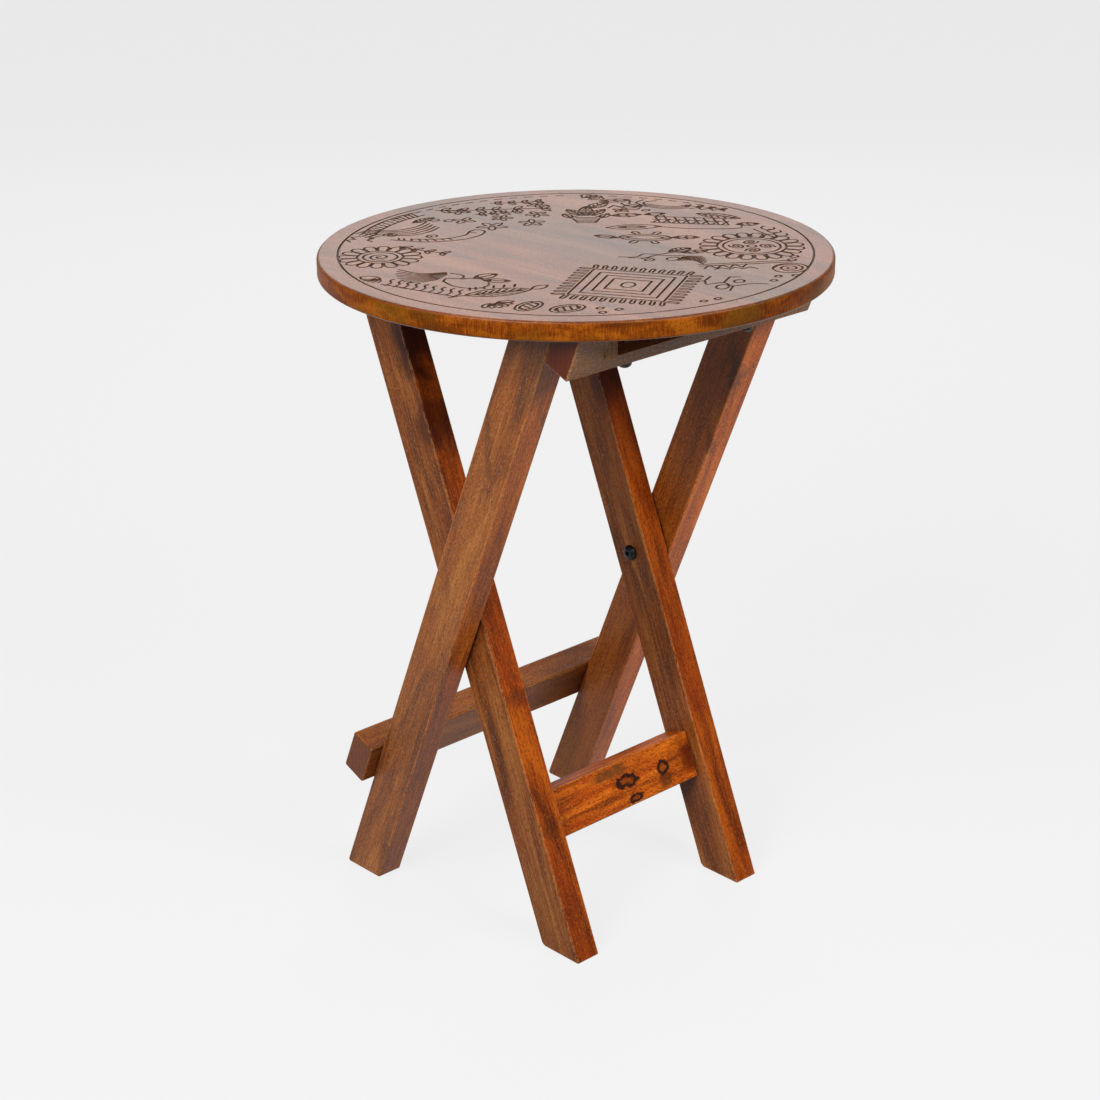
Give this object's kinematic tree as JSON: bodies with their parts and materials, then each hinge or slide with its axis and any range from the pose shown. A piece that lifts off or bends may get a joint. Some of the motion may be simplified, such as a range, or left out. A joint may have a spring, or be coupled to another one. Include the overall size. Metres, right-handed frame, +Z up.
{
  "type": "folding side table",
  "caption": "Round carved wooden top on a folding cross-legged stand that closes flat; used as an occasional side table.",
  "frame": {"origin": "on the floor, under the middle of the round top", "axes": "+Z up; X along the folding axes; the outer legs lean towards -Y at the top, the inner legs towards +Y"},
  "size_m": [0.439, 0.439, 0.6],
  "materials": {
    "inner_leg_left": "satin stain",
    "inner_leg_right": "satin stain",
    "inner_stretcher": "satin stain",
    "inner_dowel_upper_left": "unfinished beech",
    "inner_dowel_lower_left": "unfinished beech",
    "inner_dowel_upper_right": "unfinished beech",
    "inner_dowel_lower_right": "unfinished beech",
    "hinge_pin_left": "bright zinc plated",
    "hinge_pin_right": "bright zinc plated",
    "outer_leg_left": "satin stain",
    "outer_leg_right": "satin stain",
    "top_rail": "satin stain",
    "rear_stretcher": "satin stain",
    "rail_dowel_upper_left": "unfinished beech",
    "rail_dowel_lower_left": "unfinished beech",
    "rail_dowel_upper_right": "unfinished beech",
    "rail_dowel_lower_right": "unfinished beech",
    "stretcher_dowel_upper_left": "unfinished beech",
    "stretcher_dowel_lower_left": "unfinished beech",
    "stretcher_dowel_upper_right": "unfinished beech",
    "stretcher_dowel_lower_right": "unfinished beech",
    "pivot_insert_left": "plain threaded insert",
    "pivot_insert_right": "plain threaded insert",
    "pivot_bolt_left": "black oxide, satin",
    "pivot_bolt_right": "black oxide, satin",
    "pivot_washer_left": "black nylon",
    "pivot_washer_right": "black nylon",
    "catch_bolt_left": "black oxide, satin",
    "catch_bolt_right": "black oxide, satin",
    "top_panel": "satin lacquer, carved lines darkened",
    "cleat_left": "satin stain",
    "cleat_right": "satin stain",
    "cleat_screw_1_left": "bright zinc plated",
    "cleat_screw_2_left": "bright zinc plated",
    "cleat_screw_3_left": "bright zinc plated",
    "cleat_screw_1_right": "bright zinc plated",
    "cleat_screw_2_right": "bright zinc plated",
    "cleat_screw_3_right": "bright zinc plated"
  },
  "bodies": {
    "inner_frame": {"inner_leg_left": "inner_leg_left", "inner_leg_right": "inner_leg_right", "inner_stretcher": "inner_stretcher", "inner_dowel_upper_left": "inner_dowel_upper_left", "inner_dowel_lower_left": "inner_dowel_lower_left", "inner_dowel_upper_right": "inner_dowel_upper_right", "inner_dowel_lower_right": "inner_dowel_lower_right", "hinge_pin_left": "hinge_pin_left", "hinge_pin_right": "hinge_pin_right"},
    "outer_frame": {"outer_leg_left": "outer_leg_left", "outer_leg_right": "outer_leg_right", "top_rail": "top_rail", "rear_stretcher": "rear_stretcher", "rail_dowel_upper_left": "rail_dowel_upper_left", "rail_dowel_lower_left": "rail_dowel_lower_left", "rail_dowel_upper_right": "rail_dowel_upper_right", "rail_dowel_lower_right": "rail_dowel_lower_right", "stretcher_dowel_upper_left": "stretcher_dowel_upper_left", "stretcher_dowel_lower_left": "stretcher_dowel_lower_left", "stretcher_dowel_upper_right": "stretcher_dowel_upper_right", "stretcher_dowel_lower_right": "stretcher_dowel_lower_right", "pivot_insert_left": "pivot_insert_left", "pivot_insert_right": "pivot_insert_right", "pivot_bolt_left": "pivot_bolt_left", "pivot_bolt_right": "pivot_bolt_right", "pivot_washer_left": "pivot_washer_left", "pivot_washer_right": "pivot_washer_right", "catch_bolt_left": "catch_bolt_left", "catch_bolt_right": "catch_bolt_right"},
    "tabletop": {"top_panel": "top_panel", "cleat_left": "cleat_left", "cleat_right": "cleat_right", "cleat_screw_1_left": "cleat_screw_1_left", "cleat_screw_2_left": "cleat_screw_2_left", "cleat_screw_3_left": "cleat_screw_3_left", "cleat_screw_1_right": "cleat_screw_1_right", "cleat_screw_2_right": "cleat_screw_2_right", "cleat_screw_3_right": "cleat_screw_3_right"}
  },
  "joints": [
    {"name": "leg_fold", "type": "hinge", "parent": "inner_frame", "child": "outer_frame", "pos_m": [0, 0.0201, 0.2915], "axis": [-1, 0, 0], "range_deg": [0, 44.4]},
    {"name": "top_lift", "type": "hinge", "parent": "inner_frame", "child": "tabletop", "pos_m": [0, 0.13068, 0.5618], "axis": [-1, 0, 0], "range_deg": [0, 111]}
  ],
  "couplings": [
    {"joint": "top_lift", "follows": "leg_fold", "ratio": 2.5}
  ]
}
